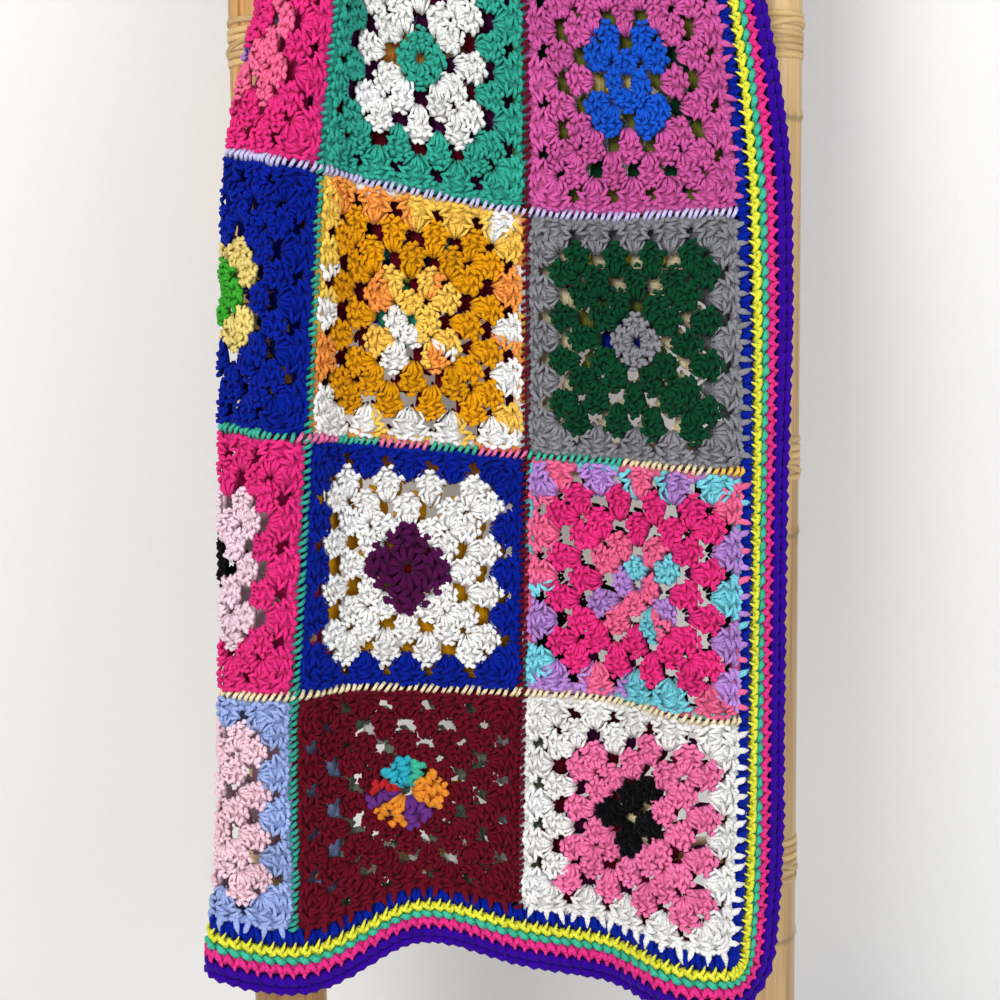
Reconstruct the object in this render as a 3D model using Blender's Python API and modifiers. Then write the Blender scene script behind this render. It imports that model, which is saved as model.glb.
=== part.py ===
"""Granny square blanket, folded in half lengthwise and hung over a rung of a leaning bamboo ladder.

Frame: +Z up, the front faces -Y. The origin is on the wall, midway between the tops of the two poles.
Lengths are metres. "Height" below is measured along the ladder's poles, from the floor.
"""
import math

import bmesh
import bpy
import numpy as np

# Ladder
LEAN = math.radians(9)
POLE_LENGTH = 1.62
POLE_RADIUS = 0.0275
POLE_SPACING = 0.362
POLE_SIDES = 24
POLE_OVERRUN = 0.02
NODE_RISE = 0.0012
NODE_REACH = 0.006
END_CHAMFER = 0.0015
LEFT_NODES = (0.19, 0.49, 0.79, 1.09, 1.40)
RIGHT_NODES = (0.22, 0.53, 0.834, 1.13, 1.43)

# Rungs, in sockets bored part way into the poles
RUNG_RADIUS = 0.013
RUNG_SIDES = 20
RUNG_HALF_LENGTH = 0.188
FIRST_RUNG = 0.28
RUNG_PITCH = 0.305
RUNG_COUNT = 5
CARRYING_RUNG = FIRST_RUNG + 3 * RUNG_PITCH
FIT_GAP = 0.0003

# Rattan lashings over the rung joints
LASHING_HEIGHT = 0.036
LASHING_THICKNESS = 0.002

# Blanket, laid flat
SQUARE = 0.170
COLUMNS = 5
ROWS = 8
EDGING = 0.046
THICKNESS = 0.004
SEWN_GAP = 0.0012
FOLD_LINE = 2.62 * SQUARE
FOLD_ROWS = (0.0, 0.8, 1.5, 2.5, 4.5, 8.0)
FOLD_SQUARES = (2.61, 2.63, 2.55, 2.47, 2.47, 2.50)
MIDDLE_SEAM = 4 * SQUARE

# Blanket, hung: its two layers, the round of the lengthwise fold and the bend over the rung
INNER_REACH = RUNG_RADIUS + 0.006
LAYER_HALF_GAP = 0.004
FOLD_RADIUS = 0.012
FOLD_EASE = 0.04
INNER_LAYER_EASE = 0.985
BEND_RADIUS = 0.0225
BEND_ANGLE = math.pi - LEAN
BEND_END = CARRYING_RUNG + BEND_RADIUS * BEND_ANGLE

# The front layer comes out past the poles below the rung
POLE_CLEARANCE = 0.0165
CLEAR_FROM = CARRYING_RUNG - 0.03
CLEAR_LENGTH = 0.105

# Side gathers: distance of each start from the middle seam, laid flat
LEFT_GATHER = 0.125
RIGHT_GATHER = 0.050

# Soft waves of the front
HEM_WAVE = 0.016
HEM_WAVE_LENGTH = 0.40
HEM_WAVE_START = 0.50
HEM_WAVE_RISE = 0.30
RIPPLE = 0.002
RIPPLE_WIDTH = 0.145
RIPPLE_LENGTH = 0.75

# Outline, from the front hem up over the rung and down the back: height, fold x, free edge x,
# squares' width against flat left and right of the middle seam, middle seam x
OUTLINE = (
    (0.174, -0.236, 0.186, 0.955, 0.970, 0.000),
    (0.222, -0.232, 0.191, 0.955, 0.970, 0.001),
    (0.265, -0.226, 0.195, 0.958, 0.975, 0.002),
    (0.412, -0.218, 0.199, 0.990, 1.000, 0.006),
    (0.560, -0.214, 0.200, 0.992, 0.985, 0.010),
    (0.726, -0.208, 0.202, 0.942, 0.900, 0.012),
    (0.806, -0.202, 0.199, 0.910, 0.860, 0.013),
    (0.910, -0.179, 0.181, 0.855, 0.800, 0.012),
    (1.040, -0.152, 0.150, 0.795, 0.720, 0.009),
    (1.100, -0.148, 0.148, 0.775, 0.720, 0.007),
    (1.195, -0.147, 0.147, 0.770, 0.720, 0.005),
    (1.270, -0.147, 0.147, 0.770, 0.720, 0.004),
    (1.390, -0.150, 0.150, 0.820, 0.750, 0.002),
    (1.500, -0.180, 0.178, 0.900, 0.880, 0.000),
    (1.620, -0.205, 0.200, 0.970, 0.950, -0.002),
    (1.760, -0.218, 0.208, 1.000, 0.970, -0.004),
)

# Heights of the seams between rows, from the front hem round to the back hem: at the fold, at the left
# seam, half a square on, at the middle seam and at the last seam before the edging
SEAM_PLACES = (FOLD_LINE - MIDDLE_SEAM, -SQUARE, -0.5 * SQUARE, 0.0, SQUARE)
SEAM_HEIGHTS = (
    (0.258, 0.245, 0.271, 0.254, 0.230),
    (0.423, 0.424, 0.423, 0.418, 0.402),
    (0.614, 0.608, 0.601, 0.592, 0.581),
    (0.804, 0.795, 0.779, 0.765, 0.763),
    (0.996, 0.985, 0.968, 0.955, 0.952),
    (1.199, 1.186, 1.168, 1.155, 1.151),
    (1.390, 1.377, 1.361, 1.348, 1.344),
    (1.572, 1.561, 1.547, 1.536, 1.532),
    (1.750, 1.740, 1.729, 1.720, 1.716),
)

# Grid of the cloth: steps between lines
WIDE_STEP = 0.027
LONG_STEP = 0.042
FOLD_STEP = 0.0042
BEND_STEP = 0.0085
BEND_ROWS = (5.0 * SQUARE, 5.5 * SQUARE)

COLOURS = {
    "bamboo_pole": (0.62, 0.40, 0.19),
    "bamboo_rung": (0.60, 0.39, 0.19),
    "rattan": (0.66, 0.50, 0.29),
    "blanket": (0.60, 0.18, 0.33),
    "edging": (0.06, 0.01, 0.25),
}


def clear_scene():
    for item in list(bpy.data.objects):
        bpy.data.objects.remove(item, do_unlink=True)


def new_collection(name):
    group = bpy.data.collections.new(name)
    bpy.context.scene.collection.children.link(group)
    return group


def new_material(name, slot, roughness):
    material = bpy.data.materials.new(name)
    material.use_nodes = True
    shader = material.node_tree.nodes["Principled BSDF"]
    shader.inputs["Base Color"].default_value = (*COLOURS[slot], 1.0)
    shader.inputs["Roughness"].default_value = roughness
    shader.inputs["Metallic"].default_value = 0.0
    return material


def new_object(name, mesh, group, material=None):
    item = bpy.data.objects.new(name, mesh)
    group.objects.link(item)
    if material:
        mesh.materials.append(material)
    return item


def mesh_from(work, name):
    mesh = bpy.data.meshes.new(name)
    work.to_mesh(mesh)
    work.free()
    return mesh


# ---------------------------------------------------------------------------------------------- ladder


def wall_offset():
    """Y and Z of the wall's contact, in the frame that starts at the floor below the poles."""
    back = POLE_LENGTH * math.sin(LEAN) + POLE_RADIUS * math.cos(LEAN)
    up = POLE_LENGTH * math.cos(LEAN) - POLE_RADIUS * math.sin(LEAN)
    return back, up


def on_ladder(x, height):
    """A point on the plane of the poles' axes."""
    back, up = wall_offset()
    return x, height * math.sin(LEAN) - back, height * math.cos(LEAN) - up


def pole_profile(nodes):
    """Radius and height down the outer side: a chamfered end, and a low ridge at each bamboo node."""
    points = [(0.0, POLE_LENGTH), (POLE_RADIUS - END_CHAMFER, POLE_LENGTH)]
    points.append((POLE_RADIUS, POLE_LENGTH - END_CHAMFER))
    for node in sorted(nodes, reverse=True):
        points.append((POLE_RADIUS, node + NODE_REACH))
        points.append((POLE_RADIUS + NODE_RISE, node))
        points.append((POLE_RADIUS, node - NODE_REACH))
    points.append((POLE_RADIUS, -POLE_OVERRUN))
    points.append((0.0, -POLE_OVERRUN))
    return points


def turned(name, profile, closed, group, material):
    """A profile in the XZ plane, turned about Z by a Screw modifier."""
    work = bmesh.new()
    verts = [work.verts.new((radius, 0.0, height)) for radius, height in profile]
    for first, second in zip(verts, verts[1:]):
        work.edges.new((first, second))
    if closed:
        work.edges.new((verts[-1], verts[0]))
    item = new_object(name, mesh_from(work, name), group, material)
    screw = item.modifiers.new("Turn", "SCREW")
    screw.steps = POLE_SIDES
    screw.render_steps = POLE_SIDES
    screw.use_merge_vertices = True
    screw.merge_threshold = 0.00001
    screw.use_smooth_shade = True
    return item


def cut(item, cutter):
    boolean = item.modifiers.new("Cut " + cutter.name, "BOOLEAN")
    boolean.operation = "DIFFERENCE"
    boolean.solver = "EXACT"
    boolean.object = cutter


def rung_mesh(name, radius, half_length):
    """A cylinder along X."""
    work = bmesh.new()
    bmesh.ops.create_cone(
        work, cap_ends=True, segments=RUNG_SIDES, radius1=radius, radius2=radius, depth=2 * half_length
    )
    for vert in work.verts:
        vert.co = (vert.co.z, vert.co.y, -vert.co.x)
    return mesh_from(work, name)


def hide_cutter(item):
    item.hide_render = True
    item.display_type = "WIRE"


def make_cutters(group):
    """The sockets for the rungs, and the block that trims the feet level with the floor."""
    bpy.ops.mesh.primitive_cube_add(size=1.0)
    floor = bpy.context.object
    floor.name = "floor_trim"
    floor.scale = (1.0, 1.0, 0.2)
    back, up = wall_offset()
    floor.location = (0.0, -back, -up - 0.1)
    for owner in list(floor.users_collection):
        owner.objects.unlink(floor)
    group.objects.link(floor)
    hide_cutter(floor)
    sockets = []
    mesh = rung_mesh("socket", RUNG_RADIUS + FIT_GAP, RUNG_HALF_LENGTH + FIT_GAP)
    for index in range(RUNG_COUNT):
        socket = new_object(f"socket_{index + 1}", mesh, group)
        socket.location = on_ladder(0.0, FIRST_RUNG + index * RUNG_PITCH)
        socket.rotation_euler = (-LEAN, 0.0, 0.0)
        hide_cutter(socket)
        sockets.append(socket)
    return floor, sockets


def make_pole(name, x, nodes, floor, sockets, group, material):
    pole = turned(name, pole_profile(nodes), False, group, material)
    pole.location = on_ladder(x, 0.0)
    pole.rotation_euler = (-LEAN, 0.0, 0.0)
    cut(pole, floor)
    for socket in sockets:
        cut(pole, socket)


def make_rung(index, group, material):
    name = f"rung_{index + 1}"
    mesh = rung_mesh(name, RUNG_RADIUS, RUNG_HALF_LENGTH)
    mesh.shade_smooth()
    mesh.set_sharp_from_angle(angle=math.radians(40))
    rung = new_object(name, mesh, group, material)
    rung.location = on_ladder(0.0, FIRST_RUNG + index * RUNG_PITCH)
    rung.rotation_euler = (-LEAN, 0.0, 0.0)


def make_lashing(name, x, index, socket, group, material):
    """A band round the pole, with the rung passing through its inner side."""
    inner = POLE_RADIUS + FIT_GAP
    outer = inner + LASHING_THICKNESS
    half = LASHING_HEIGHT / 2
    profile = [(inner, half), (outer, half), (outer, -half), (inner, -half)]
    band = turned(name, profile, True, group, material)
    band.location = on_ladder(x, FIRST_RUNG + index * RUNG_PITCH)
    band.rotation_euler = (-LEAN, 0.0, 0.0)
    cut(band, socket)


# ----------------------------------------------------------------------------------------------- cloth


def smooth_step(value):
    value = np.clip(value, 0.0, 1.0)
    return value * value * (3 - 2 * value)


def smooth_between(knots, values, place):
    """Reads values, one row for each knot and one column for each place, along a smooth curve."""
    knots = np.asarray(knots, float)
    slopes = np.gradient(values, knots, axis=0)
    index = np.clip(np.searchsorted(knots, place) - 1, 0, len(knots) - 2)
    start, step = knots[index], knots[index + 1] - knots[index]
    share = np.clip((place - start) / step, 0.0, 1.0)
    past = place - start - share * step
    column = np.arange(len(place))
    low, high = values[index, column], values[index + 1, column]
    low_slope, high_slope = slopes[index, column], slopes[index + 1, column]
    curve = (
        low * (1 + 2 * share) * (1 - share) ** 2
        + high * (3 - 2 * share) * share**2
        + step * low_slope * share * (1 - share) ** 2
        - step * high_slope * (1 - share) * share**2
    )
    return curve + past * np.where(past > 0, high_slope, low_slope)


def read_curve(knots, values, place):
    spread = np.repeat(np.asarray(values, float)[:, None], len(place), axis=1)
    return smooth_between(knots, spread, place)


def fold_line(along):
    """Where the blanket is folded: not quite square to it."""
    return read_curve(np.array(FOLD_ROWS) * SQUARE, np.array(FOLD_SQUARES) * SQUARE, along)


def draped_height(across, along):
    """Height of a point of the cloth: across from the middle seam, along from the front hem."""
    rows = np.arange(ROWS + 1) * SQUARE
    columns = [read_curve(rows, values, along) for values in np.transpose(SEAM_HEIGHTS)]
    return smooth_between(SEAM_PLACES, np.array(columns), across)


def gathered(across, height, fold):
    """X of a point and how far the gathers at the two sides lift it off the plane.

    A gather is one wave whose slope is PHI*sin, so its length and rise follow from the Bessel
    functions J0, J1 and J2, here by their first terms.
    """
    levels = np.transpose(OUTLINE)
    curves = (read_curve(levels[0], level, height) for level in levels[1:])
    fold_x, edge_x, left_scale, right_scale, seam_x = curves
    left = across < 0
    scale = np.where(left, left_scale, right_scale)
    side = np.where(left, -1.0, 1.0)
    start = np.where(left, LEFT_GATHER, RIGHT_GATHER)
    reach = np.where(left, MIDDLE_SEAM - fold, SQUARE + EDGING) - start
    away = np.abs(across)
    room = np.abs(np.where(left, fold_x, edge_x) - seam_x) - scale * start
    ratio = room / (scale * reach)
    phi = np.sqrt(8 * (1 - np.sqrt(np.minimum(ratio, 1.0))))
    angle = 2 * np.pi * np.maximum(away - start, 0.0) / reach
    radius = scale * reach / (2 * np.pi)
    j1 = phi / 2 - phi**3 / 16
    j2 = phi**2 / 8 - phi**4 / 96
    beyond = np.where(away > start, ratio * radius * angle + radius * j2 * np.sin(2 * angle), 0.0)
    x = seam_x + side * (scale * np.minimum(away, start) + beyond)
    return x, radius * 2 * j1 * (1 - np.cos(angle))


def front_waves(across, height):
    """How far the front stands out: past the poles, then in soft waves towards the hem."""
    out = POLE_CLEARANCE * smooth_step((CLEAR_FROM - height) / CLEAR_LENGTH)
    hem = smooth_step((HEM_WAVE_START - height) / HEM_WAVE_RISE)
    lobes = 0.5 + 0.5 * np.cos(2 * np.pi * (across + 0.2) / HEM_WAVE_LENGTH)
    below = smooth_step((CLEAR_FROM - CLEAR_LENGTH - height) / 0.2)
    ripple = 0.5 + 0.5 * np.sin(2 * np.pi * (across / RIPPLE_WIDTH + height / RIPPLE_LENGTH))
    return out + HEM_WAVE * hem * lobes + RIPPLE * 2 * below * ripple


def over_rung(height, reach):
    """Y and Z of a point that is reach off the carrying rung's centre line."""
    _, rung_y, rung_z = on_ladder(0.0, CARRYING_RUNG)
    turn = np.clip((height - CARRYING_RUNG) / BEND_RADIUS, 0.0, BEND_ANGLE)
    run = np.minimum(height - CARRYING_RUNG, 0.0) + np.maximum(height - BEND_END, 0.0)
    out_y, out_z = -np.cos(turn + LEAN), np.sin(turn + LEAN)
    return rung_y + reach * out_y + run * out_z, rung_z + reach * out_z - run * out_y


def drape(wide, along):
    """World points of the cloth's middle surface: wide and along are measured on the flat blanket."""
    fold = fold_line(along)
    from_fold = wide - fold
    away = np.abs(from_fold)
    outer = from_fold > 0
    round_end = FOLD_RADIUS * np.pi / 2
    on_round = away < round_end
    turn = np.minimum(away, round_end) / FOLD_RADIUS
    inner_fit = INNER_LAYER_EASE * (COLUMNS * SQUARE + EDGING - fold) / (EDGING + fold)
    fit = np.where(outer, 1.0, inner_fit)
    inward = np.where(on_round, FOLD_RADIUS * (1 - np.cos(turn)), FOLD_RADIUS + fit * (away - round_end))
    across = fold - MIDDLE_SEAM + inward
    half_gap = LAYER_HALF_GAP + (FOLD_RADIUS - LAYER_HALF_GAP) * np.exp(
        -(((inward - FOLD_RADIUS) / FOLD_EASE) ** 2)
    )
    flat_layer = np.where(outer, 2 * half_gap, 0.0)
    round_layer = FOLD_RADIUS * (1 + np.sign(from_fold) * np.sin(turn))
    layer = np.where(on_round, round_layer, flat_layer)
    height = draped_height(across, along)
    x, lift = gathered(across, height, fold)
    reach = INNER_REACH + layer + lift + front_waves(across, height)
    y, z = over_rung(height, reach)
    return np.stack([x, y, z], axis=-1)


def steps_between(low, high, step):
    return list(np.linspace(low, high, max(1, round((high - low) / step)) + 1))


def joined_steps(*runs):
    """Grid lines from several runs, each (low, high, step), that follow on from each other."""
    lines = []
    for low, high, step in runs:
        lines = lines[:-1] + steps_between(low, high, step)
    return np.array(lines)


def field_lines():
    """Lines of the grid on the flat blanket: closer at the fold and over the rung."""
    half_round = FOLD_RADIUS * math.pi / 2
    wide = joined_steps(
        (0.0, FOLD_LINE - half_round, WIDE_STEP),
        (FOLD_LINE - half_round, FOLD_LINE + half_round, FOLD_STEP),
        (FOLD_LINE + half_round, COLUMNS * SQUARE, WIDE_STEP),
    )
    along = joined_steps(
        (0.0, BEND_ROWS[0], LONG_STEP),
        (BEND_ROWS[0], BEND_ROWS[1], BEND_STEP),
        (BEND_ROWS[1], ROWS * SQUARE, LONG_STEP),
    )
    return wide, along


def with_edging(lines):
    """The field's lines, and those of the edging on both sides of it."""
    low, high = lines[0], lines[-1]
    before = [low - EDGING, low - EDGING / 2, low - SEWN_GAP]
    after = [high + SEWN_GAP, high + EDGING / 2, high + EDGING]
    return np.concatenate([before, lines[1:-1], after])


def follow_fold(wide, along):
    """Shifts the grid's lines sideways, most at the fold, so that one of them runs along it."""
    width = COLUMNS * SQUARE
    share = np.minimum(wide / FOLD_LINE, (width - wide) / (width - FOLD_LINE))
    return wide + (fold_line(along) - FOLD_LINE) * np.clip(share, 0.0, 1.0)


def round_corners(wide, along):
    """Turns the edging's square outer corners into quarter rounds."""
    past_wide = wide - np.clip(wide, 0.0, COLUMNS * SQUARE)
    past_along = along - np.clip(along, 0.0, ROWS * SQUARE)
    longest = np.maximum(np.abs(past_wide), np.abs(past_along))
    shrink = longest / np.maximum(np.hypot(past_wide, past_along), 1e-9)
    corner = (past_wide != 0) & (past_along != 0)
    shrink = np.where(corner, shrink, 1.0)
    return wide - past_wide * (1 - shrink), along - past_along * (1 - shrink)


def cloth_sheet(name, wide, along, ring, group, material):
    """A grid laid on the drape and thickened; a ring keeps only the faces of the edging."""
    work = bmesh.new()
    columns, rows = len(wide) - 1, len(along) - 1
    bmesh.ops.create_grid(work, x_segments=columns, y_segments=rows, size=1.0)
    places = np.array([vert.co[:2] for vert in work.verts])
    column = np.rint((places[:, 0] + 1) / 2 * columns).astype(int)
    row = np.rint((places[:, 1] + 1) / 2 * rows).astype(int)
    flat_wide, flat_along = wide[column], along[row]
    if ring:
        inside = [
            face
            for face in work.faces
            if abs(face.calc_center_median().x) < 1 - 4 / columns
            and abs(face.calc_center_median().y) < 1 - 4 / rows
        ]
        bmesh.ops.delete(work, geom=inside, context="FACES_ONLY")
        flat_wide, flat_along = round_corners(flat_wide, flat_along)
    flat_wide = follow_fold(flat_wide, flat_along)
    for vert, point in zip(work.verts, drape(flat_wide, flat_along)):
        vert.co = point
    loose = [vert for vert in work.verts if not vert.link_faces]
    bmesh.ops.delete(work, geom=loose, context="VERTS")
    loose_edges = [edge for edge in work.edges if not edge.link_faces]
    bmesh.ops.delete(work, geom=loose_edges, context="EDGES")
    for face in work.faces:
        face.smooth = True
    sheet = new_object(name, mesh_from(work, name), group, material)
    solidify = sheet.modifiers.new("Thickness", "SOLIDIFY")
    solidify.thickness = THICKNESS
    solidify.offset = 0.0
    solidify.use_even_offset = True


def make_blanket(group):
    wide, along = field_lines()
    yarn = new_material("blanket_yarn", "blanket", 0.9)
    edging = new_material("edging_yarn", "edging", 0.9)
    cloth_sheet("blanket", wide, along, False, group, yarn)
    cloth_sheet("edging", with_edging(wide), with_edging(along), True, group, edging)


def make_ladder(group, cutters):
    floor, sockets = make_cutters(cutters)
    half = POLE_SPACING / 2
    sides = (("left", -half, LEFT_NODES), ("right", half, RIGHT_NODES))
    pole_material = new_material("bamboo_pole", "bamboo_pole", 0.45)
    rung_material = new_material("bamboo_rung", "bamboo_rung", 0.45)
    rattan = new_material("rattan", "rattan", 0.6)
    for side, x, nodes in sides:
        make_pole(f"pole_{side}", x, nodes, floor, sockets, group, pole_material)
        for index, socket in enumerate(sockets):
            make_lashing(f"lashing_{side}_{index + 1}", x, index, socket, group, rattan)
    for index in range(RUNG_COUNT):
        make_rung(index, group, rung_material)


def main():
    clear_scene()
    group = new_collection("granny_square_blanket_on_ladder")
    cutters = new_collection("cutters")
    make_ladder(group, cutters)
    make_blanket(group)


main()
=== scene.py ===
"""Looks of the granny square blanket: crocheted yarn, whip-stitched joins, edging, bamboo and rattan.

The blanket is worked out stitch by stitch on the flat: "wide" runs across its 5 squares, "along" up its 8
squares from the front hem, and "out" away from its middle surface. Every stitch is then laid on the same
drape as the CAD cloth. Lengths are metres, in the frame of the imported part.
"""
import math

import bpy
import numpy as np
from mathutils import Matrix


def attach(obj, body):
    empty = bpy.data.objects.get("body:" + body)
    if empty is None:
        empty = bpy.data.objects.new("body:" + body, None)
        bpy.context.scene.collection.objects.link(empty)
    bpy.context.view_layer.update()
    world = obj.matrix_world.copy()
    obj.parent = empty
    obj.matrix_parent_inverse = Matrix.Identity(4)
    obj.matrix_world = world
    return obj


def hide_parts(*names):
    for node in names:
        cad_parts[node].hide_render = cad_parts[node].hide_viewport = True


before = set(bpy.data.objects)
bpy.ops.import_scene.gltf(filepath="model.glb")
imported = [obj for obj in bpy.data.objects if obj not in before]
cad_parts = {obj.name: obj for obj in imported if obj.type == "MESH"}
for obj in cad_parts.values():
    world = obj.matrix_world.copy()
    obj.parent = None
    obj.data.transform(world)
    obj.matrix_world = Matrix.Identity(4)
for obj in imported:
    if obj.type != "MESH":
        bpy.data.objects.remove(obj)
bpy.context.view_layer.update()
CHANCE = np.random.default_rng(29)

# Ladder, as in the CAD part
LEAN = math.radians(9)
POLE_LENGTH = 1.62
POLE_RADIUS = 0.0275
POLE_SPACING = 0.362
POLE_RINGS = 70
POLE_SIDES = 40
POLE_END_ROUND = 0.0012
POLE_END_STEPS = (0.0015, 0.003)
BELOW_FLOOR = 0.0055
NODE_RISE = 0.0012
NODE_WIDTH = 0.0035
NODE_STEPS = (-0.012, -0.006, -0.0025, -0.0008, 0.0012, 0.006)
GROOVE_DEPTH = 0.0009
GROOVE_DROP = 0.0030
GROOVE_WIDTH = 0.0010
RING_SHADE = 0.45
RING_SHADE_DROP = 0.0020
RING_SHADE_WIDTH = 0.0022
FOOT_SHADE = {"left": 0.42, "right": 0.10}
FOOT_SHADE_HEIGHT = 0.32
LEFT_NODES = (0.19, 0.49, 0.79, 1.09, 1.40)
RIGHT_NODES = (0.22, 0.53, 0.834, 1.13, 1.43)
RUNG_RADIUS = 0.013
RUNG_HALF_LENGTH = 0.188
FIRST_RUNG = 0.28
RUNG_PITCH = 0.305
RUNG_COUNT = 5
RUNG_RINGS = (-1.0, -0.985, -0.6, -0.2, 0.2, 0.6, 0.985, 1.0)
RUNG_SIDES = 24
RUNG_END_ROUND = 0.001
CARRYING_RUNG = FIRST_RUNG + 3 * RUNG_PITCH

# Rattan lashings
TURNS = 6
LASHING_HALF = 0.0142
STRIP_HALF_WIDTH = 0.0026
STRIP_FLATNESS = 0.34
STRIP_TILT = 0.0008
STRIP_LIFT = 0.0004
CROSSING_RISE = 0.0100
CROSSING_LIFT = 0.0013
CROSSING_HALF_WIDTH = 0.0024
CROSSING_UNEVEN = 0.002
TURN_UNEVEN = 0.0004
STRIP_RINGS = 30
STRIP_SIDES = 6
STRIP_SHADES = (0.82, 1.12)

# Blanket, laid flat
SQUARE = 0.170
COLUMNS = 5
ROWS = 8
EDGING = 0.046
FOLD_LINE = 2.62 * SQUARE
FOLD_ROWS = (0.0, 0.8, 1.5, 2.5, 4.5, 8.0)
FOLD_SQUARES = (2.61, 2.63, 2.55, 2.47, 2.47, 2.50)
MIDDLE_SEAM = 4 * SQUARE
ALL_ROWS = tuple(range(ROWS))
FRONT_ROWS, BACK_ROWS = ALL_ROWS[:4], ALL_ROWS[4:]

# Blanket, hung
INNER_REACH = RUNG_RADIUS + 0.006
LAYER_HALF_GAP = 0.004
FOLD_RADIUS = 0.012
FOLD_EASE = 0.04
INNER_LAYER_EASE = 0.985
BEND_RADIUS = 0.0225
BEND_ANGLE = math.pi - LEAN
BEND_END = CARRYING_RUNG + BEND_RADIUS * BEND_ANGLE
POLE_CLEARANCE = 0.0165
CLEAR_FROM = CARRYING_RUNG - 0.03
CLEAR_LENGTH = 0.105
LEFT_GATHER = 0.125
RIGHT_GATHER = 0.050
HEM_WAVE = 0.016
HEM_WAVE_LENGTH = 0.40
HEM_WAVE_START = 0.50
HEM_WAVE_RISE = 0.30
RIPPLE = 0.002
RIPPLE_WIDTH = 0.145
RIPPLE_LENGTH = 0.75

# Outline: height, fold x, free edge x, squares' width against flat left and right of the middle seam,
# middle seam x
OUTLINE = (
    (0.174, -0.236, 0.186, 0.955, 0.970, 0.000),
    (0.222, -0.232, 0.191, 0.955, 0.970, 0.001),
    (0.265, -0.226, 0.195, 0.958, 0.975, 0.002),
    (0.412, -0.218, 0.199, 0.990, 1.000, 0.006),
    (0.560, -0.214, 0.200, 0.992, 0.985, 0.010),
    (0.726, -0.208, 0.202, 0.942, 0.900, 0.012),
    (0.806, -0.202, 0.199, 0.910, 0.860, 0.013),
    (0.910, -0.179, 0.181, 0.855, 0.800, 0.012),
    (1.040, -0.152, 0.150, 0.795, 0.720, 0.009),
    (1.100, -0.148, 0.148, 0.775, 0.720, 0.007),
    (1.195, -0.147, 0.147, 0.770, 0.720, 0.005),
    (1.270, -0.147, 0.147, 0.770, 0.720, 0.004),
    (1.390, -0.150, 0.150, 0.820, 0.750, 0.002),
    (1.500, -0.180, 0.178, 0.900, 0.880, 0.000),
    (1.620, -0.205, 0.200, 0.970, 0.950, -0.002),
    (1.760, -0.218, 0.208, 1.000, 0.970, -0.004),
)

# Heights of the joins between rows, at five places across
SEAM_PLACES = (FOLD_LINE - MIDDLE_SEAM, -SQUARE, -0.5 * SQUARE, 0.0, SQUARE)
SEAM_HEIGHTS = (
    (0.258, 0.245, 0.271, 0.254, 0.230),
    (0.423, 0.424, 0.423, 0.418, 0.402),
    (0.614, 0.608, 0.601, 0.592, 0.581),
    (0.804, 0.795, 0.779, 0.765, 0.763),
    (0.996, 0.985, 0.968, 0.955, 0.952),
    (1.199, 1.186, 1.168, 1.155, 1.151),
    (1.390, 1.377, 1.361, 1.348, 1.344),
    (1.572, 1.561, 1.547, 1.536, 1.532),
    (1.750, 1.740, 1.729, 1.720, 1.716),
)

# Granny square: round n has n clusters of three stitches on each side
ROUNDS = 5
FIRST_ROUND = 0.0185
ROUND_STEP = 0.0158
CLUSTER_PITCH = 0.0305
BASE_OVERLAP = 0.0065
CORNER_INSET = 0.0066
CORNER_RISE = 0.0012
CORNER_SHIFT = 0.0012
FIRST_BASE = 0.0035
FIRST_SHORTER = 0.0005
MOST_TWIST = math.radians(9)
TWISTED_ROUNDS = 2.5
CLUSTER_UNEVEN = 0.0007
BASE_STEADY = 0.5
LAST_STEADY = 0.3
FAN_POWER = 2.2
BASE_SPREAD = 0.0014
STITCH_SPREAD = 0.0070
LAST_PITCH = 0.0318
LAST_SPREAD = 0.0104
LAST_BREADTH = 1.38
SIDE_SHORTER = 0.05
END_TAPER = 0.62
CROWN = 0.0022
LAST_CROWN = 0.0006
CROWN_DROP = 1.9
STITCH_LEAN = 0.42
STITCH_UNEVEN = 0.0005
STRAND_UNEVEN = 0.00022
RIM_INSET = 0.0048
RIM_HALF_WIDTH = 0.0049
RIM_OVERLAP = 0.002

# Body of a cluster: share of its height and half thickness of each section, and its half width
PAD_SECTIONS = ((0.12, 0.0012), (0.36, 0.0026), (0.70, 0.0029), (0.97, 0.0020))
PAD_FOOT = 0.0020
PAD_MARGIN = 0.0026
PAD_TOP = 0.88

# First rounds worked larger: times larger, and times the spread of their stitches
STRETCHED_FIRST = {(1, 3): (1.6, 1.5), (0, 3): (1.55, 1.6), (0, 4): (1.36, 0.95)}

# Clusters in another yarn than their round: row, column, round, side (0 is up, then clockwise), places, yarn
STRAYS = (
    (0, 4, 2, 0, (1,), "black"),
    (0, 4, 4, 3, (0, 1, 2, 3), "white"),
    (0, 4, 4, 0, (0, 1), "white"),
    (0, 2, 4, 3, (0, 1, 2, 3), "periwinkle"),
)

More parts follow.
